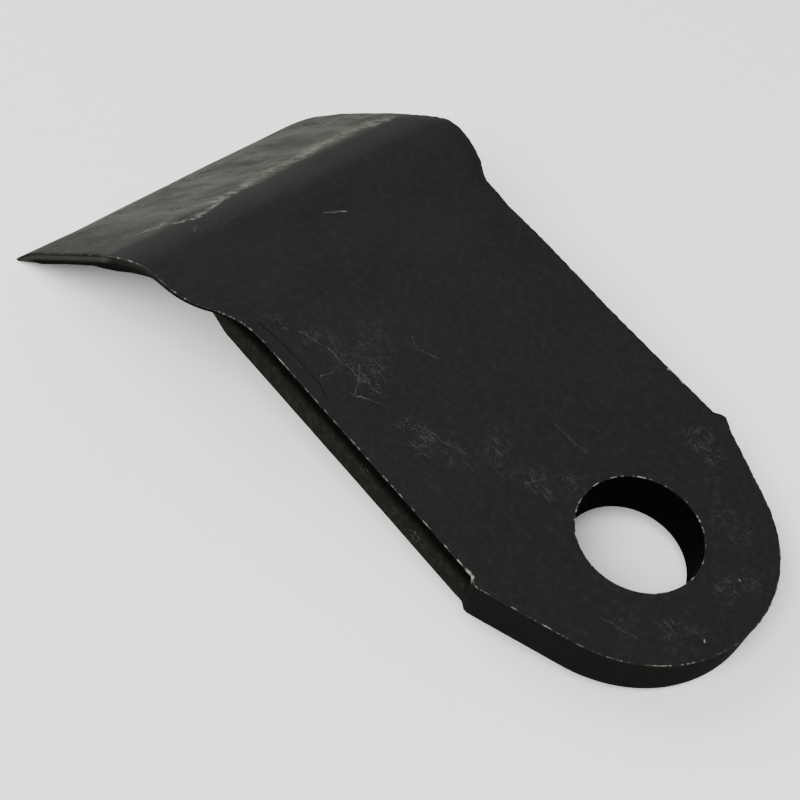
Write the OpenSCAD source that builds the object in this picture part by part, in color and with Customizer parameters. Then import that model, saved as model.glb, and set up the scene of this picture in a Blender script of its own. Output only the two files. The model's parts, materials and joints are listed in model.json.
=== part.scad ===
// Forged flail blade: a flat shank with a bolt bore in its rounded eye, and a flared
// cutting lip bent down at the other end. It is one forging, so it is one node.
//
// The blade is drawn in its own plate frame, then laid down as it rests on a bench:
// on the cutting edge and on the lower rim of the eye. The plate frame has X across
// the blade, Y from the bore to the cutting edge, and the top face at Z = 0.

/* [Eye] */
// Diameter of the bolt bore
bore_d = 25; // [20:0.5:30]
// Radius of the rounded end
eye_r = 28; // [25:0.5:32]
// Distance from the bore's axis to the centre of the rounded end
eye_shift = 1.5; // [0:0.5:4]
// How far each shoulder stands out from the shank's side
shoulder_out = 0.75; // [0.25:0.25:3]
// Distance from the bore's axis to the shoulders
shoulder_y = 9.5; // [8:0.5:16]

/* [Shank] */
// Width of the shank's top face
shank_w = 65; // [58:0.5:74]
// Thickness of the shank and the eye
shank_t = 11; // [8:0.5:14]
// Distance from the bore's axis to the start of the flare
shank_l = 73; // [60:1:90]
// Depth of the trimmed groove under each top edge
groove_depth = 3.5; // [2:0.25:5]
// How far the groove's bottom lies inside the top edge
groove_in = 1; // [0.5:0.1:2]
// Height of the sharp land that the trimming leaves along each top edge
land_t = 0.6; // [0.3:0.1:1.5]
// How far the bottom edge lies inside the top edge
foot_in = 0.75; // [0.2:0.05:2]

/* [Lip] */
// Width of the flared lip
lip_w = 81; // [72:0.5:100]
// Radius of the two arcs that make the S-shaped flare on each side
flare_r = 18.5; // [14:0.5:26]
// Length of the level stretch between the shank and the bend
level_l = 19; // [14:0.5:30]
// Length over which that stretch thins down to the bend's thickness
thinning_l = 12; // [6:0.5:14]
// Thickness in the bend
bend_t = 8; // [6:0.5:10]
// Radius of the bend, on its outer face
bend_r = 25; // [18:0.5:32]
// Angle through which the lip is bent down
bend_angle = 45; // [30:1:60]
// Length of the lip beyond the bend, along its outer face
lip_l = 54; // [35:0.5:70]
// Thickness where the lip's edge bevel starts
lip_t = 4.5; // [3:0.25:6]
// Length of the bevel along the cutting edge
bevel_l = 12; // [6:0.5:20]
// How far the bevel turns down from the lip's outer face
bevel_drop = 1.5; // [0:0.25:3]
// Thickness of the blunt cutting edge
edge_t = 0.8; // [0.4:0.1:1.5]

/* [Wings] */
// Thickness of the lip's wings, outside the thick core
wing_t = 2.8; // [1.2:0.1:3.8]

/* [Hidden] */
$fn = 96;

// How many straight steps draw each arc of the flare, and the bend.
flare_steps = 8;
bend_steps = 18;

// A length that reaches past anything it cuts.
past = 5;

lip_side = lip_w / 2;
shank_side = shank_w / 2;
core_side = shank_side - foot_in;
shoulder_side = shank_side + shoulder_out;

// The bend's axis, as [Y, Z], and the directions out from it and along the lip at its end.
bend_start = shank_l + level_l;
bend_axis = [bend_start, -bend_r];
out = [sin(bend_angle), cos(bend_angle)];
along = [cos(bend_angle), -sin(bend_angle)];

// Points of the lip in the side view: along its length, and at a depth from its outer face.
function on_lip(length, depth) = bend_axis + (bend_r - depth) * out + length * along;
bevel_start = lip_l - bevel_l;
edge_foot = on_lip(lip_l, bevel_drop + edge_t);

// The blade rests on the cutting edge's foot and on the lower rim of the eye.
eye_foot = [eye_shift - eye_r, -shank_t];
rest_tilt = atan2(eye_foot[1] - edge_foot[1], edge_foot[0] - eye_foot[0]);
outline_end = edge_foot[0] + past;

// The flare's two arcs turn through one angle, and meet halfway with one tangent.
flare_out = lip_side - shank_side;
flare_angle = acos(1 - flare_out / (2 * flare_r));
flare_end = shank_l + 2 * flare_r * sin(flare_angle);

// The point where a tangent from the shoulder touches the rounded end.
shoulder_run = [shoulder_side, shoulder_y - eye_shift];
touch_angle = atan2(shoulder_run[1], shoulder_run[0]) - acos(eye_r / norm(shoulder_run));
touch = [eye_r * cos(touch_angle), eye_shift + eye_r * sin(touch_angle)];
// Where the shoulder's corner has run out into the shank's side.
shoulder_end = shoulder_y + 2;

// Its children and their mirror image across the blade's middle.
module both_sides() {
    children();
    mirror([1, 0, 0]) children();
}

// The eye's outline, seen from above, with its tapered sides and its shoulders.
module eye_outline() {
    translate([0, eye_shift]) circle(eye_r);
    polygon([
        touch, [shoulder_side, shoulder_y], [shank_side, shoulder_end],
        [-shank_side, shoulder_end], [-shoulder_side, shoulder_y], [-touch[0], touch[1]],
    ]);
}

module eye() {
    translate([0, 0, -shank_t]) linear_extrude(shank_t) eye_outline();
}

// Half of the shank's cross-section, as [X, Z]: land, groove and leaning foot.
module shank_section() {
    polygon([
        [0, 0], [shank_side, 0], [shank_side, -land_t],
        [shank_side - groove_in, -groove_depth], [core_side, -shank_t], [0, -shank_t],
    ]);
}

module shank() {
    both_sides()
        translate([0, shank_l, 0])
            rotate([90, 0, 0])
                linear_extrude(shank_l - shoulder_y)
                    shank_section();
}

// Points along an arc of the flare, after its first one.
function flare_arc(centre, from, to) = [
    for (i = [1:flare_steps])
        let (direction = from + (to - from) * i / flare_steps)
            centre + flare_r * [cos(direction), sin(direction)]
];

// The outline of the flare and the lip, seen from above.
module lip_outline() {
    both_sides()
        polygon(concat(
            [[0, outline_end], [0, shank_l], [shank_side, shank_l]],
            flare_arc([shank_side + flare_r, shank_l], 180, 180 - flare_angle),
            flare_arc([lip_side - flare_r, flare_end], -flare_angle, 0),
            [[lip_side, outline_end]]
        ));
}

// Points round the bend at a depth from its outer face, from its start to its end.
function round_bend(depth) = [
    for (i = [0:bend_steps])
        let (turned = bend_angle * i / bend_steps)
            bend_axis + (bend_r - depth) * [sin(turned), cos(turned)]
];

function reversed(points) = [for (i = [1:len(points)]) points[len(points) - i]];

// The level stretch, the bend and the bevelled lip, seen from the side as [Y, Z]. Its
// thickness is given where it leaves the shank, in the bend and at the start of the bevel.
module side_profile(start_t, middle_t, end_t) {
    polygon(concat(
        [[shank_l, 0]],
        round_bend(0),
        [on_lip(bevel_start, 0), on_lip(lip_l, bevel_drop), edge_foot, on_lip(bevel_start, end_t)],
        reversed(round_bend(middle_t)),
        [[bend_start - thinning_l, -start_t], [shank_l, -start_t]]
    ));
}

// Turns a side view into a slab of a width, centred across the blade.
module slab(width) {
    rotate([90, 0, 90])
        linear_extrude(width, center = true)
            children();
}

// The thick middle of the level stretch, the bend and the lip.
module core() {
    slab(2 * core_side) side_profile(shank_t, bend_t, lip_t);
}

// The thin flared layer that runs out past the core on both sides.
module wings() {
    intersection() {
        slab(lip_w + past) side_profile(land_t, wing_t, wing_t);
        translate([0, 0, edge_foot[1] - past])
            linear_extrude(2 * past - edge_foot[1]) lip_outline();
    }
}

// Lays the blade down on its cutting edge and eye, with the bore's centre at the origin.
module at_rest() {
    rotate([rest_tilt, 0, 0]) translate([0, 0, shank_t / 2]) children();
}

module blade() {
    color("#2c2c2b")
        at_rest()
            difference() {
                union() {
                    eye();
                    shank();
                    core();
                    wings();
                }
                translate([0, 0, -shank_t - past])
                    cylinder(d = bore_d, h = shank_t + 2 * past);
            }
}

blade();
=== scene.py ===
"""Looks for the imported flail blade: a detailed forged mesh, its worn black paint, and a plain studio.

The blade is drawn in the plate frame, in millimetres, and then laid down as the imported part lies.
The plate frame has X across the blade, Y from the bore to the cutting edge, and Z = 0 on the top face.
Along the bent lip a point is given by its unrolled place: X, the run along the outer face, and the
height above that face.
"""

import json
import math
from functools import partial

import bpy
import numpy as np
from mathutils import Matrix, Quaternion, Vector, noise


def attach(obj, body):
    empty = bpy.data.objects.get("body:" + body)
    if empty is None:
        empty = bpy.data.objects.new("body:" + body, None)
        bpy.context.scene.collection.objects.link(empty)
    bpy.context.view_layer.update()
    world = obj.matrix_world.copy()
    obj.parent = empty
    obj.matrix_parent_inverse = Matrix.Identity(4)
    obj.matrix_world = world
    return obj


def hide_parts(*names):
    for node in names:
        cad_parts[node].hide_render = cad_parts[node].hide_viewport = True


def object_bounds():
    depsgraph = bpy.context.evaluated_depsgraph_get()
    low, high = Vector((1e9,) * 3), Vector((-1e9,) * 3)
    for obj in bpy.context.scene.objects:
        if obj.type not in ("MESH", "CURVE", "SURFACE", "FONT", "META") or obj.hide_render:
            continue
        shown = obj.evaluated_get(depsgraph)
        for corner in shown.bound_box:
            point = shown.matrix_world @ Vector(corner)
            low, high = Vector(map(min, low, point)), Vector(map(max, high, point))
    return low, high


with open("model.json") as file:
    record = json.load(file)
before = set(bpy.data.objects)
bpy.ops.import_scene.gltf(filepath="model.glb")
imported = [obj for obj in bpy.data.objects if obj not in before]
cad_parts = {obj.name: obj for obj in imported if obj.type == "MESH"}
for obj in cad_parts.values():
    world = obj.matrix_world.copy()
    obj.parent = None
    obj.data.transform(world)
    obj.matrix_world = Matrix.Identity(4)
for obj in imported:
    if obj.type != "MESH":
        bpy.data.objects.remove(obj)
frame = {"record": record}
CAD_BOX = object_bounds()

bl_info = {
    "name": "Forged flail blade",
    "version": (1, 0, 0),
    "blender": (4, 5, 0),
    "location": "3D View > Sidebar > Flail Blade",
    "description": "Builds a forged flail blade with worn black paint around its packed solid",
    "category": "Add Mesh",
}

MM = 0.001
BORE = next(mount for mount in frame["record"]["mounts"] if mount["name"] == "pivot_bore")
BORE_R = BORE["dims"]["r_mm"]
PLATE_T = BORE["dims"]["length_mm"]
REST_TILT = math.atan2(-BORE["axis"][1], BORE["axis"][2])
LIP_W = (CAD_BOX[1].x - CAD_BOX[0].x) / MM

# Lines of the outline that don't change with the sizes below, in millimetres.
SEAM_Y = 18.0  # where the grid round the bore meets the grid of the shank
SHOULDER_RUN = 2.0  # length of the shoulder's corner
BEND_RUN = 20.0  # length in which most of the bend is done

# Fineness of the mesh, in millimetres or as counts.
STATION_GAP = 0.9  # between loops along the shank and the lip
SHORTEST_GAP = 0.3  # between the last two loops at the cutting edge
OUTLINE_GAP = 0.55  # between points round the eye
COLUMN_COUNT = 104  # columns across the middle of a face
EDGE_SHARES = (0.02, 0.0125, 0.008, 0.004)  # places of the extra columns, in from an edge
BORE_ROWS = 26  # rows of quads down the bore
CURVE_POINTS = 2000  # points that trace the side view of the outer face
SHARP_ANGLE = math.radians(35)  # edges sharper than this stay sharp
FAR_FROM_EDGE = 9.0  # the "rim" value where no edge is near
FLOOR_SIZE = 8.0  # metres


def linear(hex_colour):
    """An sRGB colour such as "#2b2b2b" as linear red, green, blue and alpha."""
    parts = [int(hex_colour[i : i + 2], 16) / 255 for i in (1, 3, 5)]
    return [p / 12.92 if p <= 0.04045 else ((p + 0.055) / 1.055) ** 2.4 for p in parts] + [1.0]


# ---------------------------------------------------------------------------------------------
# Sizes and colours


def length(name, description, default_mm):
    return bpy.props.FloatProperty(
        name=name, description=description, default=default_mm * MM, min=0.0, unit="LENGTH", precision=5
    )


def colour(name, description, hex_colour):
    return bpy.props.FloatVectorProperty(
        name=name,
        description=description,
        default=linear(hex_colour),
        size=4,
        min=0.0,
        max=1.0,
        subtype="COLOR",
    )


class FLAIL_PG_sizes(bpy.types.PropertyGroup):
    """Sizes of the blade that a user can change"""

    eye_radius: length("Eye radius", "Radius of the rounded end", 28.2)
    eye_shift: length("Eye shift", "From the bore's axis to the rounded end's centre", 1.5)
    shoulder_y: length("Shoulder", "From the bore's axis to the shoulders", 9.5)
    shoulder_out: length("Shoulder step", "How far a shoulder stands out from the shank", 0.8)
    shank_width: length("Shank width", "Width of the shank's top face", 65.2)
    flare_start: length("Flare start", "From the bore's axis to the start of the flare", 73.0)
    flare_radius: length("Flare radius", "Radius of each arc of the S-shaped flare", 18.5)
    bend_start: length("Bend start", "From the bore's axis to the start of the bend", 92.0)
    bend_angle: bpy.props.FloatProperty(
        name="Bend angle", description="Angle of the lip", default=math.radians(45), subtype="ANGLE"
    )
    lip_length: length("Lip length", "From the start of the bend to the cutting edge", 73.6)
    bevel_length: length("Bevel length", "Length of the turned-down cutting edge", 12.0)
    bevel_drop: length("Bevel drop", "How far the cutting edge is turned down", 1.5)


class FLAIL_PG_colours(bpy.types.PropertyGroup):
    """Colours of the paint, the steel and the floor"""

    paint: colour("Paint", "Black dip paint on the shank and the eye", "#1c1c1c")
    # The lip's grey: grey scale under thin paint, lightened in part as a painted reflection of the pale
    # room.
    thin_paint_and_reflection: colour("Thin paint", "Grey scale under thin paint on the lip", "#42423d")
    scale: colour("Scale", "Olive forging scale on the sides", "#1e1e1a")
    dust: colour("Dust", "Rubbed and dusty streaks", "#5b5b58")
    pale: colour("Pale ridge", "Ridge where the scale is rubbed through", "#8a887e")
    steel: colour("Bare steel", "Knocked edges and chips", "#aeaa9c")
    floor: colour("Floor", "Studio floor", "#f4f4f2")


# ---------------------------------------------------------------------------------------------
# Shape of the blade


class Shape:
    """The blade's sizes in millimetres, and the curves that follow from them."""

    # Along the run, in millimetres: edge thickness, then the groove under the edge as its place and
    # depth, then the foot of the core's side and the thickness in the middle.
    SECTIONS = (
        # run, edge, groove x, groove depth, foot x, middle
        (0.0, 0.5, 30.0, 3.3, 32.1, 11.0),
        (73.0, 0.5, 30.0, 3.3, 32.1, 11.0),
        (78.0, 0.7, 30.4, 3.5, 32.1, 11.0),
        (84.0, 1.0, 31.4, 4.0, 32.1, 10.9),
        (94.0, 1.7, 34.2, 4.8, 31.2, 8.9),
        (103.0, 2.4, 37.2, 5.2, 30.5, 8.3),
        (122.0, 2.6, 37.2, 5.2, 30.0, 7.2),
        (140.0, 2.6, 36.4, 4.0, 30.0, 5.6),
        (153.6, 2.8, 34.0, 3.4, 31.0, 4.5),
        (165.7, 0.8, 34.0, 0.8, 31.0, 0.8),
    )

    # The bend tightens quickly and runs out slowly: distance past its start, and share of its angle.
    BEND = ((0, 0), (4, 0.18), (8, 0.49), (11, 0.71), (14, 0.8), (20, 0.89), (26, 0.955), (32, 1))

    def __init__(self, sizes):
        self.eye_r = sizes.eye_radius / MM
        self.eye_y = sizes.eye_shift / MM
        self.shoulder_y = sizes.shoulder_y / MM
        self.shank_x = sizes.shank_width / MM / 2
        self.shoulder_x = self.shank_x + sizes.shoulder_out / MM
        self.lip_x = LIP_W / 2
        self.flare_start = sizes.flare_start / MM
        self.flare_r = sizes.flare_radius / MM
        self.bend_start = sizes.bend_start / MM
        self.bend_end = self.bend_start + BEND_RUN
        self.end = self.bend_start + sizes.lip_length / MM
        past, share = np.array(self.BEND).T
        self.runs = np.linspace(0, self.end, CURVE_POINTS)
        self.turned = sizes.bend_angle * np.interp(self.runs, self.bend_start + past, share)
        step = self.runs[1] - self.runs[0]
        self.face_y = np.cumsum(np.cos(self.turned)) * step - step
        self.face_z = -np.cumsum(np.sin(self.turned)) * step
        self.bevel_start = self.end - sizes.bevel_length / MM
        self.bevel_drop = sizes.bevel_drop / MM
        flare_out = self.lip_x - self.shank_x
        self.flare_run = math.sqrt(flare_out * (4 * self.flare_r - flare_out))

    def half_width(self, run):
        """Half the width of the top face at a run, through the S-shaped flare."""
        middle = self.flare_run / 2
        t = np.clip(run - self.flare_start, 0, self.flare_run)
        inner = self.shank_x + self.flare_r - np.sqrt(self.flare_r**2 - np.minimum(t, middle) ** 2)
        back = np.minimum(self.flare_run - t, middle)
        outer = self.lip_x - self.flare_r + np.sqrt(self.flare_r**2 - back**2)
        return np.where(t < middle, inner, outer)

    def top_height(self, run):
        """Height of the outer face, which falls only along the cutting edge's bevel."""
        t = np.clip((run - self.bevel_start) / (self.end - self.bevel_start), 0, 1)
        return -self.bevel_drop * t**1.4

    def hang(self, x, run, width):
        """How far the right side hangs: its rim droops from the flare on, and the lip's twist lifts it."""
        rim = (1.6 - 1.1 * smooth(90, 102, run)) * smooth(78, 86, run)
        rim = rim * np.clip((x - width + 4.5) / 4.5, 0, 1) ** 2
        return rim - 1.7 * smooth(108, 145, run) * np.clip((x + 25) / 65, 0, 1)

    def section(self, run):
        """The five numbers of SECTIONS at a run."""
        table = np.array(self.SECTIONS)
        return [np.interp(run, table[:, 0], table[:, k]) for k in range(1, 6)]

    def place(self, x, run, height):
        """Unrolled places as points of the plate frame."""
        tables = (self.turned, self.face_y, self.face_z)
        turned, y, z = (np.interp(run, self.runs, table) for table in tables)
        return np.stack([x, y + height * np.sin(turned), z + height * np.cos(turned)], axis=-1)

    def eye_outline(self, step):
        """The outline behind the seam, from the right side round the eye to the left side."""
        run = Vector((self.shoulder_x, self.shoulder_y - self.eye_y))
        touch = math.atan2(run.y, run.x) - math.acos(self.eye_r / run.length)
        corners = [
            (self.shank_x, SEAM_Y),
            (self.shank_x, self.shoulder_y + SHOULDER_RUN),
            (self.shoulder_x, self.shoulder_y + 0.5),
            (self.shoulder_x, self.shoulder_y - 0.5),
        ]
        half = []
        for a, b in zip(corners, corners[1:] + [self.on_eye(touch)]):
            count = max(1, round(math.dist(a, b) / step))
            half += [tuple(Vector(a).lerp(Vector(b), i / count)) for i in range(count)]
        count = round((touch + math.pi / 2) * self.eye_r / step)
        half += [self.on_eye(touch - (touch + math.pi / 2) * i / count) for i in range(count)]
        back = [self.on_eye(-math.pi / 2)]
        return np.array(half + back + [(-x, y) for x, y in reversed(half)])

    def on_eye(self, direction):
        return (self.eye_r * math.cos(direction), self.eye_y + self.eye_r * math.sin(direction))


def columns(count, near_edge):
    """Shares of the half width across a face, from -1 to 1, with extra columns near both edges."""
    inner = 1 - near_edge[0]
    middle = [inner * (2 * i / count - 1) for i in range(count + 1)]
    edge = [1 - n for n in near_edge[1:]] + [1.0]
    return np.array([-e for e in reversed(edge)] + middle + edge)


def wall_curve(points, counts):
    """Points along a chain of straight pieces, each cut into its own count."""
    out = []
    for a, b, count in zip(points, points[1:], counts):
        out += [a + (b - a) * i / count for i in range(count)]
    return out + [points[-1]]


# How many quads each straight piece of a side is cut into, from the top edge down.
WALL_COUNTS = (2, 1, 3, 3, 4, 3)


def shank_wall(shape, run, width):
    """The side under a top edge, as insets from that edge and depths: land, groove and foot."""
    edge, groove_x, groove, foot_x, middle = shape.section(run)
    land = width - min(groove_x, width - 0.05)
    foot = width - foot_x
    points = [
        (0.0, 0.0),
        (0.04, edge * 0.75),
        (0.3, edge),
        (land * 0.8, edge + (groove - edge) * 0.35),
        (land, groove),
        (foot, groove + (middle - groove) * 0.9),
        (foot + 0.5, middle),
    ]
    return np.array(wall_curve(np.array(points), WALL_COUNTS))


def eye_wall():
    """The side of the eye, with a little draft and a rounded lower rim."""
    points = [
        (0.0, 0.0),
        (0.12, 0.35),
        (0.2, 0.8),
        (0.22, 2.5),
        (0.3, 5.5),
        (0.45, PLATE_T - 1.0),
        (1.1, PLATE_T),
    ]
    return np.array(wall_curve(np.array(points), WALL_COUNTS))


def smooth(low, high, value):
    """0 below low, 1 above high, and a smooth step between."""
    t = np.clip((value - low) / (high - low), 0, 1)
    return t * t * (3 - 2 * t)


class MeshParts:
    """Vertices and faces gathered from grids that share their border vertices."""

    def __init__(self):
        self.points = []
        self.unrolled = []
        self.rim = []
        self.faces = []

    def add(self, points, unrolled, rim):
        """Adds rows of vertices and returns their numbers, in the same rows."""
        points = np.asarray(points, float)
        start = sum(len(p) for p in self.points)
        count = points[..., 0].size
        self.points.append(points.reshape(-1, 3))
        self.unrolled.append(np.asarray(unrolled, float).reshape(-1, 3))
        self.rim.append(np.broadcast_to(rim, points.shape[:-1]).reshape(-1))
        return np.arange(start, start + count).reshape(points.shape[:-1])

    def skin(self, rows, closed=False):
        """Quads between neighbouring rows of vertex numbers."""
        a, b = rows[:-1], rows[1:]
        if closed:
            a = np.concatenate([a, a[:, :1]], axis=1)
            b = np.concatenate([b, b[:, :1]], axis=1)
        quads = np.stack([a[:, :-1], a[:, 1:], b[:, 1:], b[:, :-1]], axis=-1)
        self.faces += quads.reshape(-1, 4).tolist()

    def mesh(self, name):
        mesh = bpy.data.meshes.new(name)
        mesh.from_pydata(np.concatenate(self.points).tolist(), [], self.faces)
        mesh.validate()
        for label, kind, values in (
            ("unrolled", "FLOAT_VECTOR", np.concatenate(self.unrolled)),
            ("rim", "FLOAT", np.concatenate(self.rim)),
        ):
            layer = mesh.attributes.new(label, kind, "POINT")
            layer.data.foreach_set("vector" if kind == "FLOAT_VECTOR" else "value", values.ravel())
        return mesh


def build_long_part(parts, shape, shares):
    """The shank, the flare, the bend and the lip, as one loop of vertices at each station."""
    stations = np.append(np.arange(SEAM_Y, shape.end, STATION_GAP), shape.end)
    if stations[-1] - stations[-2] < SHORTEST_GAP:
        stations = np.delete(stations, -2)
    loops = []
    for run in stations:
        width = float(shape.half_width(run))
        wall = shank_wall(shape, run, width)
        foot_x, middle = width - wall[-1, 0], wall[-1, 1]
        top = [(x, 0.0) for x in width * shares]
        right = [(width - inset, -depth) for inset, depth in wall[1:-1]]
        under = [(x, -middle) for x in foot_x * shares[::-1]]
        left = [(-x, h) for x, h in reversed(right)]
        loops.append(top + right + under + left)
    loops = np.array(loops)
    runs = np.repeat(stations[:, None], loops.shape[1], axis=1)
    widths = shape.half_width(runs)
    heights = loops[..., 1] + shape.top_height(runs) - shape.hang(loops[..., 0], runs, widths)
    rim = np.maximum(widths - np.abs(loops[..., 0]), -loops[..., 1])
    unrolled = np.stack([loops[..., 0], runs, loops[..., 1]], axis=-1)
    numbers = parts.add(shape.place(loops[..., 0], runs, heights), unrolled, rim)
    parts.skin(numbers, closed=True)

    # The blunt cutting edge: the last loop's top and underside, joined straight across.
    count = len(shares)
    walls = len(shank_wall(shape, shape.end, shape.lip_x)) - 2
    end = numbers[-1]
    top = end[:count]
    under = end[count + walls : 2 * count + walls][::-1]
    for i in range(1, count - 2):
        parts.faces.append([top[i], top[i + 1], under[i + 1], under[i]])
    right = end[count : count + walls]
    left = end[2 * count + walls :][::-1]
    parts.faces.append([top[1], under[1], under[0], *left[::-1], top[0]])
    parts.faces.append([top[-1], *right, under[-1], under[-2], top[-2]])
    return numbers[0]


def build_eye(parts, shape, shares, seam):
    """The eye round the bore: rays from the bore's rim out to the seam and to the outline."""
    count = len(shares)
    shank = shank_wall(shape, SEAM_Y, shape.shank_x)
    walls = len(shank) - 2
    outline = shape.eye_outline(OUTLINE_GAP)
    behind = outline[1:-1]
    ahead = np.stack([shape.shank_x * shares, np.full(count, SEAM_Y)], axis=-1)

    # Walls under the outline. Past the slanting crease at the shoulder the groove gives way to the
    # plain side of the eye.
    forward = outline[2:] - outline[:-2]
    normal = np.stack([-forward[:, 1], forward[:, 0]], axis=-1)
    normal /= np.linalg.norm(normal, axis=1, keepdims=True)
    eye = eye_wall()
    crease_y = shape.shoulder_y + 1.9 + 1.6 * shank[None, :, 1] / PLATE_T
    on_eye = 1 - smooth(crease_y - 0.5, crease_y + 0.3, behind[:, 1:2])
    profile = shank[None] * (1 - on_eye[..., None]) + eye[None] * on_eye[..., None]
    wall_xy = behind[:, None, :] - normal[:, None, :] * profile[..., :1]
    wall = np.concatenate([wall_xy, -profile[..., 1:]], axis=-1)

    # The top and the underside, as rays that share one angle at the rim.
    def rays(outer_ahead, outer_behind, height, rim_edge):
        outer = np.concatenate([outer_behind, outer_ahead])
        angle = np.arctan2(outer[:, 1], outer[:, 0])
        rim = BORE_R * np.stack([np.cos(angle), np.sin(angle)], axis=-1)
        near_rim = [0.0, 0.012, 0.03, 0.06, 0.11, 0.19, 0.3, 0.43]
        near_outline = [0.57, 0.7, 0.82, 0.9, 0.95, 0.975, 0.99, 1.0]
        shares_out = np.array(near_rim + near_outline)
        flat = rim[:, None] + (outer - rim)[:, None] * shares_out[None, :, None]
        points = np.concatenate([flat, np.full(flat.shape[:2] + (1,), height)], axis=-1)
        reach = np.linalg.norm(outer - rim, axis=1)[:, None]
        from_rim = reach * shares_out[None]
        from_either = reach * np.minimum(shares_out, 1 - shares_out)[None]
        is_seam = np.arange(len(outer))[:, None] >= len(outer_behind)
        if not rim_edge:
            return points, np.full(from_rim.shape, FAR_FROM_EDGE)
        return points, np.where(is_seam, from_rim, from_either)

    top, top_rim = rays(ahead, behind, 0.0, True)
    foot_ahead = np.stack([(shape.shank_x - shank[-1, 0]) * shares, np.full(count, SEAM_Y)], axis=-1)
    under, under_rim = rays(foot_ahead, wall[:, -1, :2], -PLATE_T, False)

    n_behind = len(behind)
    top_numbers = parts.add(top, top, top_rim)
    under_numbers = parts.add(under, under, under_rim)
    wall_numbers = parts.add(wall[:, 1:-1], wall[:, 1:-1], profile[:, 1:-1, 1])

    # The seam's vertices are the first loop of the long part.
    top_numbers[n_behind:, -1] = seam[:count]
    under_numbers[n_behind:, -1] = seam[count + walls : 2 * count + walls][::-1]
    parts.skin(np.concatenate([top_numbers, top_numbers[:1]])[::-1])
    parts.skin(np.concatenate([under_numbers, under_numbers[:1]]))

    right = seam[count : count + walls]
    left = seam[2 * count + walls :][::-1]
    chain = np.concatenate([right[None], wall_numbers, left[None]])
    top_edge = np.concatenate([[seam[count - 1]], top_numbers[:n_behind, -1], [seam[0]]])
    foot_ends = [[seam[count + walls]], [seam[2 * count + walls - 1]]]
    foot_edge = np.concatenate([foot_ends[0], under_numbers[:n_behind, -1], foot_ends[1]])
    parts.skin(np.concatenate([top_edge[:, None], chain, foot_edge[:, None]], axis=1)[::-1])

    # The bore's wall, with the marks that the tool left round it.
    angle = np.arctan2(top[:, 0, 1], top[:, 0, 0])
    depth = np.linspace(0, PLATE_T, BORE_ROWS + 1)[1:-1]
    wall = np.zeros((len(angle), BORE_ROWS - 1, 3))
    for i, a in enumerate(angle):
        for k, d in enumerate(depth):
            mark = noise.noise(Vector((math.cos(a) * 1.3, math.sin(a) * 1.3, d * 1.7)))
            fine = noise.noise(Vector((math.cos(a) * 2.0, math.sin(a) * 2.0, d * 5.0 + 40)))
            r = BORE_R + 0.09 * mark + 0.05 * fine
            wall[i, k] = (r * math.cos(a), r * math.sin(a), -d)
    bore = parts.add(wall, wall, np.minimum(depth, 4.0)[None])
    chain = np.concatenate([top_numbers[:, :1], bore, under_numbers[:, :1]], axis=1)
    parts.skin(np.concatenate([chain, chain[:1]]))


def read(values, name, size):
    """One property of every vertex, as an array."""
    out = np.zeros(len(values) * size, np.float32)
    values.foreach_get(name, out)
    return out.reshape(-1, size) if size > 1 else out


def roughen(mesh, shape):
    """Moves the vertices along their normals: forging waves, scale on the lip, ragged edges, the lap."""
    points = read(mesh.vertices, "co", 3)
    normals = read(mesh.vertices, "normal", 3)
    unrolled = read(mesh.attributes["unrolled"].data, "vector", 3)
    rim = read(mesh.attributes["rim"].data, "value", 1)
    x, run, height = unrolled.T
    on_lip = smooth(shape.bend_end - 4, shape.bend_end + 10, run)
    in_bore = np.hypot(points[:, 0], points[:, 1]) < BORE_R + 0.2
    waves = np.zeros(len(points))
    ragged = np.zeros(len(points))
    for i, point in enumerate(points):
        p = Vector(point)
        broad = noise.noise(p / 26) * 0.10 + noise.noise(p / 9 + Vector((7, 3, 1))) * 0.035
        bent = x[i] / 18 + noise.noise(p / 12) * 0.6
        streak = noise.fractal(Vector((bent, run[i] / 7, 5.0)), 0.8, 2.1, 3) * 0.09
        waves[i] = broad + streak * on_lip[i]
        ragged[i] = noise.fractal(p / 1.3, 0.6, 2.2, 3)
    near = np.exp(-((rim / 0.4) ** 2)) * (1 - 0.7 * on_lip)
    push = np.where(in_bore, 0.0, waves + near * (0.13 * ragged - 0.02))

    # The lap: a thin skin folded over beside the left edge, with a small step down at its rim.
    lap_run, lap_x = np.array(sorted((r, x) for x, r in LAP)).T
    beside = np.interp(run, lap_run, lap_x) - x
    window = smooth(lap_run[0] - 1, lap_run[0] + 3, run)
    window = window * (1 - smooth(lap_run[-1] - 2, lap_run[-1] + 1, run))
    step = smooth(0.0, 0.5, beside) * np.exp(-np.maximum(beside, 0) / 1.3)
    push -= 0.22 * window * step * (height > -0.2)
    points += normals * push[:, None]
    # On the right side, a knob on the shoulder, a wider shank before the flare and a tighter flare.
    knob = 0.5 * np.exp(-(((run - 9.0) / 1.5) ** 2))
    wider = 0.65 * smooth(35, 70, run) * (1 - smooth(75, 82, run))
    tighter = 0.6 * smooth(79, 85, run) * (1 - smooth(92, 104, run))
    points[:, 0] += (knob + wider - tighter) * smooth(26, 33, points[:, 0])
    mesh.vertices.foreach_set("co", points.ravel())


def build_blade(sizes):
    """The whole blade as one closed mesh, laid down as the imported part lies."""
    shape = Shape(sizes)
    shares = columns(COLUMN_COUNT, EDGE_SHARES)
    parts = MeshParts()
    seam = build_long_part(parts, shape, shares)
    build_eye(parts, shape, shares, seam)
    mesh = parts.mesh("flail_blade")
    roughen(mesh, shape)
    lay_down = Matrix.Rotation(REST_TILT, 4, "X") @ Matrix.Translation((0, 0, PLATE_T / 2 * MM))
    mesh.transform(lay_down @ Matrix.Scale(MM, 4))
    mesh.shade_smooth()
    mesh.set_sharp_from_angle(angle=SHARP_ANGLE)
    blade = bpy.data.objects.new("flail_blade", mesh)
    bpy.context.collection.objects.link(blade)
    return blade


# ---------------------------------------------------------------------------------------------
# Marks on the outer face, as unrolled places in millimetres

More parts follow.
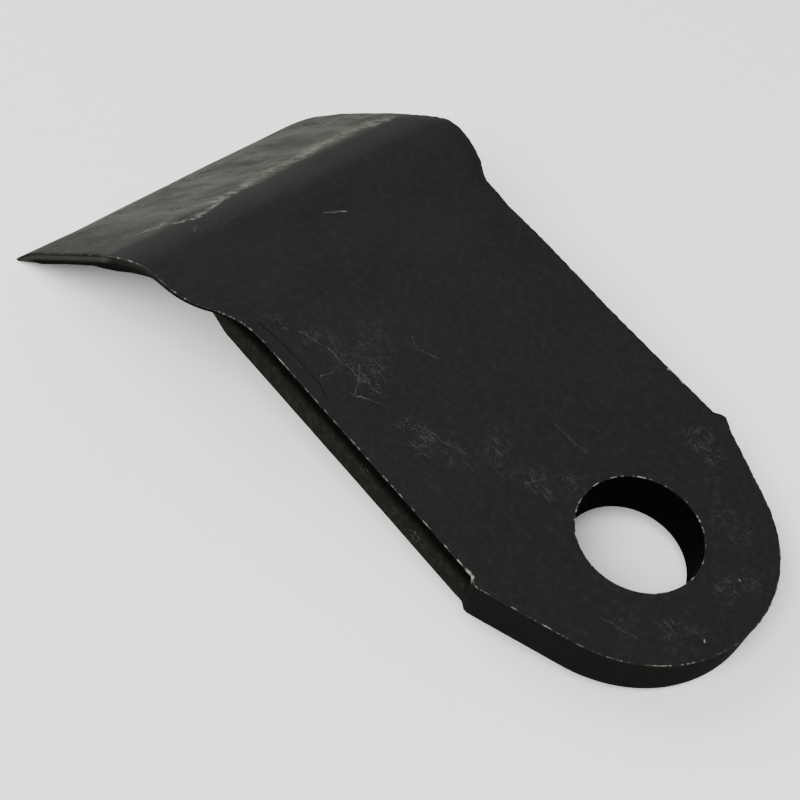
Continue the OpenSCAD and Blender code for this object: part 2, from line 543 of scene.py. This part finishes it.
# Fine scratches: start, end, half width and strength.
SCRATCHES = (
    ((-2.0, 92.5), (2.0, 90.5), 0.34, 0.8),
    ((-23.5, 108.5), (-25.0, 105.5), 0.2, 0.5),
    ((-26.0, 54.5), (-22.5, 48.5), 0.2, 0.45),
    ((-20.0, 58.5), (-25.5, 53.5), 0.2, 0.5),
    ((-7.0, 58.5), (-8.0, 55.5), 0.2, 0.3),
    ((-8.0, 55.5), (-6.0, 51.0), 0.2, 0.3),
    ((-28.5, 60.0), (-25.5, 60.0), 0.2, 0.4),
    ((-25.0, 71.0), (-23.0, 64.5), 0.2, 0.35),
    ((-23.0, 64.5), (-22.5, 58.5), 0.2, 0.45),
    ((-22.5, 58.5), (-21.0, 51.0), 0.2, 0.4),
    ((-19.5, 41.5), (-17.5, 34.5), 0.25, 0.35),
    ((-23.5, 38.5), (-22.5, 34.5), 0.25, 0.35),
    ((3.0, 27.0), (3.5, 19.0), 0.2, 0.3),
    ((-10.5, 20.5), (-7.0, 19.0), 0.25, 0.35),
    ((-18.5, -8.0), (-16.0, -15.5), 0.2, 0.3),
)
# The ragged pale ridge across the lip just past the bend, weaker towards the right.
RIDGE = (
    ((-26.5, 121.0), (-23.5, 116.5), 2.5, 0.4),
    ((-23.5, 116.5), (-19.5, 113.5), 2.5, 0.6),
    ((-19.5, 113.5), (-11.5, 118.5), 3.0, 0.65),
    ((-11.5, 118.5), (-1.5, 121.0), 3.5, 0.55),
    ((-1.5, 121.0), (15.0, 122.5), 4.0, 0.4),
    ((15.0, 122.5), (27.0, 123.0), 4.5, 0.45),
    ((27.0, 123.0), (35.0, 119.0), 4.5, 0.4),
)
# The shallow forging lap beside the left edge of the shank.
LAP = ((-30.5, 77.0), (-29.5, 68.5), (-29.5, 59.0), (-30.5, 55.5))
LAP_LINE = tuple((a, b, 0.3, 0.9) for a, b in zip(LAP, LAP[1:]))
# Rubbed patches: centre, radii and strength.
SCUFFS = (
    ((-27.5, 74.0), (3.5, 6.0), 0.6),
    ((-22.5, 66.0), (5.0, 9.0), 0.7),
    ((-20.0, 57.0), (5.5, 9.0), 0.6),
    ((-14.5, 60.0), (6.0, 8.0), 0.4),
    ((-20.5, 38.0), (5.0, 9.0), 0.65),
    ((-17.0, 31.0), (5.0, 6.0), 0.4),
    ((-11.0, 30.0), (5.0, 11.0), 0.45),
    ((-8.0, 20.0), (6.0, 6.0), 0.5),
    ((-4.0, 14.0), (4.0, 4.0), 0.45),
    ((25.5, 6.5), (4.5, 7.0), 0.6),
    ((19.5, 0.0), (4.0, 6.0), 0.4),
    ((17.0, -9.0), (6.0, 7.0), 0.5),
    ((8.0, -18.5), (11.0, 6.0), 0.6),
    ((-10.0, -19.5), (7.0, 5.0), 0.45),
    ((-15.5, -12.0), (4.0, 7.0), 0.35),
    ((-21.0, 104.0), (7.0, 7.0), 0.3),
)
# Bare spots where an edge is knocked off.
CHIPS = (
    ((-33.0, 11.0), (1.0, 0.6), 0.8),
    ((-32.5, 12.0), (0.4, 1.0), 0.6),
    ((32.5, 21.0), (0.5, 1.4), 0.8),
    ((32.5, 24.0), (0.6, 0.5), 0.7),
    ((33.5, 76.5), (0.6, 1.0), 0.7),
    ((-6.0, -22.5), (0.4, 0.3), 0.6),
    ((9.0, -18.0), (0.3, 0.4), 0.35),
)
# Pitted spots on the left side of the shank, as run and height.
WALL_PITS = (((42.0, -7.0), (2.6, 1.2), 1.0), ((26.0, -8.2), (3.0, 1.3), 0.7))


# ---------------------------------------------------------------------------------------------
# Materials

RAMP = {"interpolation_type": "SMOOTHSTEP"}


def add(tree, kind, inputs=None, out=0, **settings):
    """Adds a shader node with its settings, sets or links its inputs, and returns one output."""
    node = tree.nodes.new("ShaderNode" + kind)
    for key, value in settings.items():
        setattr(node, key, value)
    for key, value in (inputs or {}).items():
        if isinstance(value, bpy.types.NodeSocket):
            tree.links.new(value, node.inputs[key])
        else:
            node.inputs[key].default_value = value
    return node.outputs[out] if node.outputs else None


def stroke_mask(tree, place, strokes):
    """A value that is highest on a set of straight strokes and falls to 0 at their half width."""
    put = partial(add, tree)
    total = 0.0
    for start, end, half_width, strength in strokes:
        first, along = Vector((*start, 0.0)), Vector((*end, 0.0)) - Vector((*start, 0.0))
        offset = put("VectorMath", {0: place, 1: first}, operation="SUBTRACT")
        per_length = along / along.length_squared
        share = put("VectorMath", {0: offset, 1: per_length}, out=1, operation="DOT_PRODUCT")
        foot = put("VectorMath", {0: along, "Scale": put("Clamp", {0: share})}, operation="SCALE")
        gap = put("VectorMath", {0: offset, 1: foot}, out=1, operation="DISTANCE")
        mask = put("MapRange", {0: gap, 1: 0.0, 2: half_width, 3: strength, 4: 0.0}, **RAMP)
        total = put("Math", {0: total, 1: mask}, operation="MAXIMUM")
    return total


def patch_mask(tree, place, patches):
    """A value that is highest in the middle of a set of ovals and falls to 0 at their rims."""
    put = partial(add, tree)
    total = 0.0
    for centre, radii, strength in patches:
        scale = (1 / radii[0], 1 / radii[1], 0.0)
        shift = (-centre[0] / radii[0], -centre[1] / radii[1], 0.0)
        scaled = put("VectorMath", {0: place, 1: scale, 2: shift}, operation="MULTIPLY_ADD")
        gap = put("VectorMath", {0: scaled}, out=1, operation="LENGTH")
        mask = put("MapRange", {0: gap, 1: 0.15, 2: 1.0, 3: strength, 4: 0.0}, **RAMP)
        total = put("Math", {0: total, 1: mask}, operation="MAXIMUM")
    return total


def darker(rgba, share):
    return [c * share for c in rgba[:3]] + [1.0]


# Hot-forged boron steel, shot-cleaned, dipped in thin black paint, then rubbed and chipped in
# handling. The paint is dull and nearly black, so the faces look even. Pale dusty streaks show
# where it is rubbed, grey scale shows through it on the hammered lip, and steel shines only on
# the knocked edges. The lip's grey is also lightened as a painted reflection of the pale room,
# and shade is painted black under the trimmed edges, in the bore and under the lip.
def dip_painted_forged_steel(colours):
    material = bpy.data.materials.new("dip_painted_forged_steel")
    material.use_nodes = True
    tree = material.node_tree
    tree.nodes.clear()
    put = partial(add, tree)
    place = put("Attribute", out="Vector", attribute_name="unrolled")
    rim = put("Attribute", out="Fac", attribute_name="rim")
    side, run, height = (put("SeparateXYZ", {0: place}, out=axis) for axis in "XYZ")

    # Places pushed about by up to a millimetre, so that no mark is ruled straight.
    push = put("TexNoise", {"Vector": place, "Scale": 0.4, "Detail": 4.0}, out="Color")
    push = put("VectorMath", {0: push, 1: (0.5, 0.5, 0.5)}, operation="SUBTRACT")
    moved = put("VectorMath", {0: push, 1: (2.2, 2.2, 0.0), 2: place}, operation="MULTIPLY_ADD")
    flat = put("VectorMath", {0: moved, 1: (1.0, 1.0, 0.0)}, operation="MULTIPLY")
    moved_run = put("SeparateXYZ", {0: moved}, out="Y")

    # Places on the face as they are, and pushed about by several millimetres for soft shapes. The
    # ridge keeps more of its run, so it wanders less along the blade.
    across = put("VectorMath", {0: place, 1: (1.0, 1.0, 0.0)}, operation="MULTIPLY")
    wander = put("TexNoise", {"Vector": place, "Scale": 1 / 7, "Detail": 3.0}, out="Color")
    wander = put("VectorMath", {0: wander, 1: (0.5, 0.5, 0.5)}, operation="SUBTRACT")
    wander = put("VectorMath", {0: wander, 1: (18.0, 18.0, 0.0), 2: place}, operation="MULTIPLY_ADD")

    ridge_place = put("VectorMath", {0: wander, 1: (1.0, 0.4, 0.0)}, operation="MULTIPLY")
    half_run = put("VectorMath", {0: place, 1: (0.0, 0.6, 0.0)}, operation="MULTIPLY")
    ridge_place = put("VectorMath", {0: ridge_place, 1: half_run}, operation="ADD")

    # Noises, by the size of their features: 20 mm clouds, 1.6 mm blotches, 1 mm peel, and grain of
    # 0.4 mm and 0.15 mm.
    cloud = put("TexNoise", {"Vector": place, "Scale": 1 / 20, "Detail": 3.0})
    peel = put("TexNoise", {"Vector": place, "Scale": 1.0, "Detail": 2.0})
    fine = put("TexNoise", {"Vector": place, "Scale": 1 / 0.4, "Detail": 3.0, "Roughness": 0.65})
    grain = put("TexNoise", {"Vector": place, "Scale": 1 / 0.15, "Detail": 1.0})
    broken = put("TexNoise", {"Vector": place, "Scale": 1 / 1.6, "Detail": 5.0, "Roughness": 0.75})
    gaps = put("MapRange", {0: broken, 1: 0.49, 2: 0.62, 3: 0.0, 4: 1.0}, **RAMP)

    # Hairs are the fine rubbed streaks along the shank, 0.3 mm wide and several long.
    hair_place = put("VectorMath", {0: place, 1: (3.4, 0.22, 1.0)}, operation="MULTIPLY")
    hair = put("TexNoise", {"Vector": hair_place, "Scale": 1.0, "Detail": 2.0, "Roughness": 0.6})
    hair = put("MapRange", {0: hair, 1: 0.56, 2: 0.78, 3: 0.0, 4: 1.0}, **RAMP)
    speck = put("MapRange", {0: fine, 1: 0.54, 2: 0.7, 3: 0.0, 4: 1.0}, **RAMP)
    smudge = put("Math", {0: gaps, 1: 0.1}, operation="MULTIPLY")
    rubbed = put("Math", {0: speck, 1: 0.42, 2: smudge}, operation="MULTIPLY_ADD")
    rubbed = put("Math", {0: hair, 1: 0.4, 2: rubbed}, operation="MULTIPLY_ADD")

    # The outer face: marks end a little below it.
    depth = put("Math", {0: height}, operation="ABSOLUTE")
    on_face = put("MapRange", {0: depth, 1: 0.15, 2: 0.4, 3: 1.0, 4: 0.0}, **RAMP)
    below = put("Math", {0: 1.0, 1: on_face}, operation="SUBTRACT")

    # The lip, from a ragged line just past the bend.
    ragged = put("TexNoise", {"Vector": place, "Scale": 1 / 11, "Detail": 4.0, "Roughness": 0.6})
    ragged_run = put("Math", {0: ragged, 1: 14.0, 2: run}, operation="MULTIPLY_ADD")
    lip = put("MapRange", {0: ragged_run, 1: 121.5, 2: 129.0, 3: 0.0, 4: 1.0}, **RAMP)

    # Scale on the lip, drawn out a little askew towards the cutting edge: soft bands, dark hairline
    # cracks, and pale rubbed hairs.
    swept = put("TexNoise", {"Vector": place, "Scale": 1 / 14, "Detail": 3.0}, out="Color")
    swept = put("VectorMath", {0: swept, 1: (0.5, 0.5, 0.5)}, operation="SUBTRACT")
    drawn = put("VectorMath", {0: swept, 1: (14.0, 10.0, 0.0), 2: moved}, operation="MULTIPLY_ADD")
    drawn = put("VectorRotate", {"Vector": drawn, "Angle": math.radians(-12)}, rotation_type="Z_AXIS")
    band_place = put("VectorMath", {0: drawn, 1: (0.15, 0.05, 0.2)}, operation="MULTIPLY")
    bands = put("TexNoise", {"Vector": band_place, "Scale": 1.0, "Detail": 5.0, "Roughness": 0.6})
    crack_place = put("VectorMath", {0: drawn, 1: (0.12, 0.03, 0.1)}, operation="MULTIPLY")
    cracks = put("TexNoise", {"Vector": crack_place, "Scale": 1.0, "Detail": 2.0})
    cracks = put("Math", {0: cracks, 1: 0.5}, operation="SUBTRACT")
    cracks = put("Math", {0: cracks}, operation="ABSOLUTE")
    cracks = put("MapRange", {0: cracks, 1: 0.0, 2: 0.02, 3: 1.0, 4: 0.0}, **RAMP)
    cracks = put("Math", {0: cracks, 1: gaps}, operation="MULTIPLY")
    cracks = put("Math", {0: cracks, 1: lip}, operation="MULTIPLY")
    lip_hair_place = put("VectorMath", {0: drawn, 1: (0.8, 0.13, 1.0)}, operation="MULTIPLY")
    lip_hair = put("TexNoise", {"Vector": lip_hair_place, "Scale": 1.0, "Detail": 3.0, "Roughness": 0.7})
    lip_hair = put("MapRange", {0: lip_hair, 1: 0.55, 2: 0.75, 3: 0.0, 4: 0.7}, **RAMP)
    lip_face = put("Math", {0: lip, 1: on_face}, operation="MULTIPLY")
    lip_hair = put("Math", {0: lip_hair, 1: lip_face}, operation="MULTIPLY")

    # The placed marks.
    scratches = stroke_mask(tree, flat, SCRATCHES)
    scratch_gaps = put("Math", {0: gaps, 1: 0.35}, operation="MAXIMUM")
    scratches = put("Math", {0: scratches, 1: scratch_gaps}, operation="MULTIPLY")
    ridge = stroke_mask(tree, ridge_place, RIDGE)
    feather_place = put("VectorMath", {0: place, 1: (0.75, 0.3, 1.0)}, operation="MULTIPLY")
    feather = put("TexNoise", {"Vector": feather_place, "Scale": 1.0, "Detail": 5.0, "Roughness": 0.7})
    ridge_gaps = put("MapRange", {0: feather, 1: 0.42, 2: 0.72, 3: 0.0, 4: 1.0})
    ridge = put("Math", {0: ridge, 1: ridge_gaps}, operation="MULTIPLY")
    lap = stroke_mask(tree, across, LAP_LINE)
    lap_gaps = put("MapRange", {0: broken, 1: 0.4, 2: 0.55, 3: 0.35, 4: 1.0})
    lap = put("Math", {0: lap, 1: lap_gaps}, operation="MULTIPLY")
    scuffs = patch_mask(tree, wander, SCUFFS)
    scuffs = put("Math", {0: scuffs, 1: 0.1}, operation="MAXIMUM")
    scuffs = put("Math", {0: scuffs, 1: rubbed}, operation="MULTIPLY")
    chips = patch_mask(tree, moved, CHIPS)
    near_face = put("MapRange", {0: depth, 1: 0.6, 2: 1.8, 3: 1.0, 4: 0.0}, **RAMP)
    chips = put("Math", {0: chips, 1: near_face}, operation="MULTIPLY")
    wall_place = put("CombineXYZ", {0: run, 1: height, 2: 0.0})
    on_left = put("MapRange", {0: side, 1: -31.0, 2: -30.0, 3: 1.0, 4: 0.0})
    pits = put("Math", {0: patch_mask(tree, wall_place, WALL_PITS), 1: on_left}, operation="MULTIPLY")
    pits = put("Math", {0: pits, 1: speck}, operation="MULTIPLY")

    # Painted shadow: black under the overhanging trimmed edge, and below it the forging's olive scale
    # shows. Painted shade: black inside the bore.
    groove = put("MapRange", {0: height, 1: -7.4, 2: -5.2, 3: 0.0, 4: 0.9}, **RAMP)
    groove = put("Math", {0: groove, 1: below}, operation="MULTIPLY")
    shank_only = put("MapRange", {0: run, 1: 11.0, 2: 13.0, 3: 0.0, 4: 1.0}, **RAMP)
    before_lip = put("MapRange", {0: run, 1: 84.0, 2: 98.0, 3: 1.0, 4: 0.0}, **RAMP)
    groove = put("Math", {0: groove, 1: shank_only}, operation="MULTIPLY")
    groove = put("Math", {0: groove, 1: before_lip}, operation="MULTIPLY")
    radius = put("VectorMath", {0: across}, out=1, operation="LENGTH")
    bore = put("MapRange", {0: radius, 1: BORE_R + 0.2, 2: BORE_R + 0.3, 3: 1.0, 4: 0.0})
    bore = put("Math", {0: bore, 1: below}, operation="MULTIPLY")
    edge_and_bore_shade = put("Math", {0: groove, 1: bore}, operation="MAXIMUM")

    # Knocked edges: a broken bright line. On the lip it is weaker, over a dark line along the edge.
    wear = put("MapRange", {0: rim, 1: 0.08, 2: 0.22, 3: 1.0, 4: 0.0}, **RAMP)
    wear = put("Math", {0: wear, 1: gaps}, operation="MULTIPLY")
    runs_of_wear = put("MapRange", {0: ragged, 1: 0.4, 2: 0.56, 3: 0.12, 4: 1.0}, **RAMP)
    wear = put("Math", {0: wear, 1: runs_of_wear}, operation="MULTIPLY")
    kept = put("MapRange", {0: lip, 1: 0.0, 2: 1.0, 3: 1.0, 4: 0.25})
    wear = put("Math", {0: wear, 1: kept}, operation="MULTIPLY")
    lip_edge = put("MapRange", {0: rim, 1: 0.3, 2: 0.7, 3: 0.9, 4: 0.0}, **RAMP)
    lip_edge = put("Math", {0: lip_edge, 1: lip}, operation="MULTIPLY")

    # Painted shade: black in the hollow under the flare and the lip, and darker on the side of the eye.
    # The lip is darker towards its left end, and its own side is a shaded copy of its grey, a little
    # lighter than the hollow.
    shade = put("MapRange", {0: height, 1: -2.0, 2: -1.0, 3: 1.0, 4: 0.0}, **RAMP)
    past_flare = put("MapRange", {0: run, 1: 86.0, 2: 92.0, 3: 0.0, 4: 1.0}, **RAMP)
    shade = put("Math", {0: shade, 1: past_flare}, operation="MULTIPLY")
    eye_side_shade = put("MapRange", {0: run, 1: 11.5, 2: 12.5, 3: 0.8, 4: 0.0})
    eye_side_shade = put("Math", {0: eye_side_shade, 1: below}, operation="MULTIPLY")
    left_end = put("MapRange", {0: side, 1: -40.0, 2: -16.0, 3: 1.0, 4: 0.0}, **RAMP)
    lip_side_shade = put("Math", {0: lip, 1: below}, operation="MULTIPLY")

    # The cutting edge is honed pale in places.
    to_edge = put("Math", {0: run, 1: moved_run}, operation="MINIMUM")
    honed = put("MapRange", {0: to_edge, 1: 163.2, 2: 165.0, 3: 0.0, 4: 0.8}, **RAMP)
    honed = put("Math", {0: honed, 1: on_face}, operation="MULTIPLY")
    honed = put("Math", {0: honed, 1: runs_of_wear}, operation="MULTIPLY")

    # Colour, from the paint upwards. It is a little darker towards the eye.
    dark_bands = put("MapRange", {0: bands, 1: 0.42, 2: 0.62, 3: 0.0, 4: 0.8})
    paint, lip_grey_and_reflection, dust, scale = (colours[name] for name in ("paint", "thin_paint_and_reflection", "dust", "scale"))
    pale = colours["pale"]
    to_eye = put("MapRange", {0: run, 1: 0.0, 2: 80.0, 3: 0.3, 4: 0.0})
    layers = (
        (to_eye, darker(paint, 0.3)),
        (put("MapRange", {0: cloud, 1: 0.35, 2: 0.65, 3: 0.0, 4: 1.0}), darker(paint, 0.8)),
        (put("MapRange", {0: broken, 1: 0.45, 2: 0.7, 3: 0.0, 4: 0.3}), darker(paint, 1.5)),
        (put("MapRange", {0: fine, 1: 0.45, 2: 0.7, 3: 0.0, 4: 0.5}), darker(paint, 0.5)),
        (below, darker(scale, 0.5)),
        (put("Math", {0: below, 1: gaps}, operation="MULTIPLY"), darker(scale, 0.85)),
        # Painted shade: the side of the eye drawn darker.
        (eye_side_shade, darker(paint, 0.3)),
        # The lip's grey: grey scale under thin paint, in part a painted reflection of the pale room.
        (lip, lip_grey_and_reflection),
        (put("Math", {0: lip_face, 1: dark_bands}, operation="MULTIPLY"), darker(lip_grey_and_reflection, 0.5)),
        (put("Math", {0: lip_face, 1: left_end}, operation="MULTIPLY"), darker(lip_grey_and_reflection, 0.45)),
        (put("Math", {0: lip_hair, 1: 0.5}, operation="MULTIPLY"), dust),
        (put("Math", {0: cracks, 1: 0.7}, operation="MULTIPLY"), darker(paint, 0.5)),
        # Painted shade: the lip's side drawn as a darker copy of its grey.
        (lip_side_shade, darker(lip_grey_and_reflection, 0.4)),
        (lip_edge, darker(paint, 0.3)),
        # Painted shade: black in the hollow under the flare and the lip.
        (shade, darker(paint, 0.05)),
        (honed, dust),
        # Painted shade: black under the trimmed edge and inside the bore.
        (edge_and_bore_shade, darker(paint, 0.05)),
        (put("Math", {0: scuffs, 1: on_face}, operation="MULTIPLY"), dust),
        (put("Math", {0: lap, 1: on_face}, operation="MULTIPLY"), darker(paint, 0.3)),
        (put("Math", {0: ridge, 1: on_face}, operation="MULTIPLY"), pale),
        (put("Math", {0: pits, 1: 0.8}, operation="MULTIPLY"), dust),
        (put("Math", {0: scratches, 1: on_face}, operation="MULTIPLY"), dust),
    )
    colour = paint
    for share, layer in layers:
        colour = put("Mix", {0: share, 6: colour, 7: layer}, out=2, data_type="RGBA")
    bare = put("Math", {0: wear, 1: chips}, operation="MAXIMUM")
    bare = put("Math", {0: bare, 1: 0.65}, operation="MULTIPLY")
    colour = put("Mix", {0: bare, 6: colour, 7: colours["steel"]}, out=2, data_type="RGBA")

    # Gloss: dull satin paint, duller still on the sides, on the lip and where it is rubbed.
    rough = put("Math", {0: grain, 1: 0.12, 2: 0.54}, operation="MULTIPLY_ADD")
    rough = put("Math", {0: scuffs, 1: 0.15, 2: rough}, operation="MULTIPLY_ADD")
    rough = put("Math", {0: edge_and_bore_shade, 1: 0.35, 2: rough}, operation="MULTIPLY_ADD")
    rough = put("Math", {0: below, 1: 0.3, 2: rough}, operation="MULTIPLY_ADD")
    lip_bands = put("Math", {0: bands, 1: lip}, operation="MULTIPLY")
    rough = put("Math", {0: lip_bands, 1: 0.2, 2: rough}, operation="MULTIPLY_ADD")

    # Relief in millimetres.
    tool_place = put("VectorMath", {0: place, 1: (0.12, 0.12, 2.6)}, operation="MULTIPLY")
    tool = put("TexNoise", {"Vector": tool_place, "Scale": 1.0, "Detail": 3.0})
    relief = put("Math", {0: fine, 1: 0.016}, operation="MULTIPLY")
    for share, mask, amount in (
        (peel, 1.0, 0.03),
        (bands, lip_face, 0.3),
        (lip_hair, lip, 0.06),
        (cracks, 1.0, -0.12),
        (ridge, on_face, 0.12),
        (scratches, on_face, -0.03),
        (lap, on_face, -0.08),
        (pits, 1.0, -0.1),
        (tool, bore, 0.25),
    ):
        part = put("Math", {0: share, 1: mask}, operation="MULTIPLY")
        relief = put("Math", {0: part, 1: amount, 2: relief}, operation="MULTIPLY_ADD")
    bump = put("Bump", {"Height": relief, "Distance": MM, "Strength": 1.0})

    # The thin paint has dried nearly matt, so it mirrors very little of the room.
    shader = put(
        "BsdfPrincipled",
        {
            "Base Color": colour,
            "Roughness": rough,
            "Metallic": put("Math", {0: bare, 1: 0.6}, operation="MULTIPLY"),
            "Specular IOR Level": 0.02,
            "Normal": bump,
        },
    )
    add(tree, "OutputMaterial", {"Surface": shader})
    return material


def studio_floor(colours):
    """Matt white studio paper."""
    material = bpy.data.materials.new("studio_paper")
    material.use_nodes = True
    shader = material.node_tree.nodes["Principled BSDF"]
    shader.inputs["Base Color"].default_value = colours["floor"]
    shader.inputs["Roughness"].default_value = 0.9
    return material


# ---------------------------------------------------------------------------------------------
# Operators


def read_colours(context):
    group = context.scene.flail_colours
    return {name: list(getattr(group, name)) for name in group.__annotations__}


class FLAIL_OT_blade(bpy.types.Operator):
    """Build the forged blade with its paint and wear"""

    bl_idname = "flail.blade"
    bl_label = "Blade"

    def execute(self, context):
        blade = build_blade(context.scene.flail_sizes)
        blade.data.materials.append(dip_painted_forged_steel(read_colours(context)))
        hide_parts("blade")
        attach(blade, "root")
        return {"FINISHED"}


class FLAIL_OT_stage(bpy.types.Operator):
    """Build the floor, the lights and the camera"""

    bl_idname = "flail.stage"
    bl_label = "Stage"

    def execute(self, context):
        colours = read_colours(context)
        low = CAD_BOX[0].z
        bpy.ops.mesh.primitive_plane_add(size=FLOOR_SIZE, location=(0, 0, low))
        floor = context.object
        floor.name = "floor"
        floor.data.materials.append(studio_floor(colours))
        make_lights(context.scene)
        make_camera(context.scene)
        return {"FINISHED"}


def make_lights(scene):
    """A pale room, a large soft key high on the left and a weaker one behind the lip."""
    world = bpy.data.worlds.new("room")
    world.use_nodes = True
    background = world.node_tree.nodes["Background"]
    background.inputs["Color"].default_value = (1.0, 1.0, 1.0, 1.0)
    background.inputs["Strength"].default_value = 0.5
    scene.world = world
    for name, place, size, watts in (
        ("key_softbox", (-1.0, -0.45, 1.4), 1.2, 62.0),
        ("back_softbox", (-0.35, 1.2, 1.2), 1.2, 22.0),
    ):
        light = bpy.data.lights.new(name, "AREA")
        light.shape = "DISK"
        light.size = size
        light.energy = watts
        lamp = bpy.data.objects.new(name, light)
        lamp.location = place
        lamp.rotation_mode = "QUATERNION"
        lamp.rotation_quaternion = (-Vector(place)).to_track_quat("-Z", "Y")
        scene.collection.objects.link(lamp)


def make_camera(scene):
    """The camera, by where it looks, its direction round the blade, its roll and its distance."""
    target = Vector((-8.57, 56.5, 0.0)) * MM
    azimuth, elevation, roll = math.radians(-43.69), math.radians(45.40), math.radians(3.78)
    distance = 331.7 * MM
    back = Vector(
        (
            math.sin(azimuth) * math.cos(elevation),
            -math.cos(azimuth) * math.cos(elevation),
            math.sin(elevation),
        )
    )
    data = bpy.data.cameras.new("camera")
    data.sensor_width = 36.0
    data.lens = 73.67
    data.clip_start = 0.01
    camera = bpy.data.objects.new("camera", data)
    camera.location = target + back * distance
    camera.rotation_mode = "QUATERNION"
    camera.rotation_quaternion = (-back).to_track_quat("-Z", "Y") @ Quaternion((0, 0, 1), roll)
    scene.collection.objects.link(camera)
    scene.camera = camera


class FLAIL_PT_panel(bpy.types.Panel):
    """Lists the blade's operators and sizes"""

    bl_idname = "FLAIL_PT_panel"
    bl_label = "Flail Blade"
    bl_space_type = "VIEW_3D"
    bl_region_type = "UI"
    bl_category = "Flail Blade"

    def draw(self, context):
        for operator in STEPS:
            self.layout.operator(operator.bl_idname)
        for group in (context.scene.flail_sizes, context.scene.flail_colours):
            for name in group.__annotations__:
                self.layout.prop(group, name)


STEPS = (FLAIL_OT_blade, FLAIL_OT_stage)
CLASSES = (FLAIL_PG_sizes, FLAIL_PG_colours, *STEPS, FLAIL_PT_panel)


def register():
    for cls in CLASSES:
        bpy.utils.register_class(cls)
    bpy.types.Scene.flail_sizes = bpy.props.PointerProperty(type=FLAIL_PG_sizes)
    bpy.types.Scene.flail_colours = bpy.props.PointerProperty(type=FLAIL_PG_colours)


def unregister():
    del bpy.types.Scene.flail_colours
    del bpy.types.Scene.flail_sizes
    for cls in reversed(CLASSES):
        bpy.utils.unregister_class(cls)


def main():
    register()
    bpy.ops.flail.blade()
    bpy.ops.flail.stage()


if __name__ == "__main__":
    main()
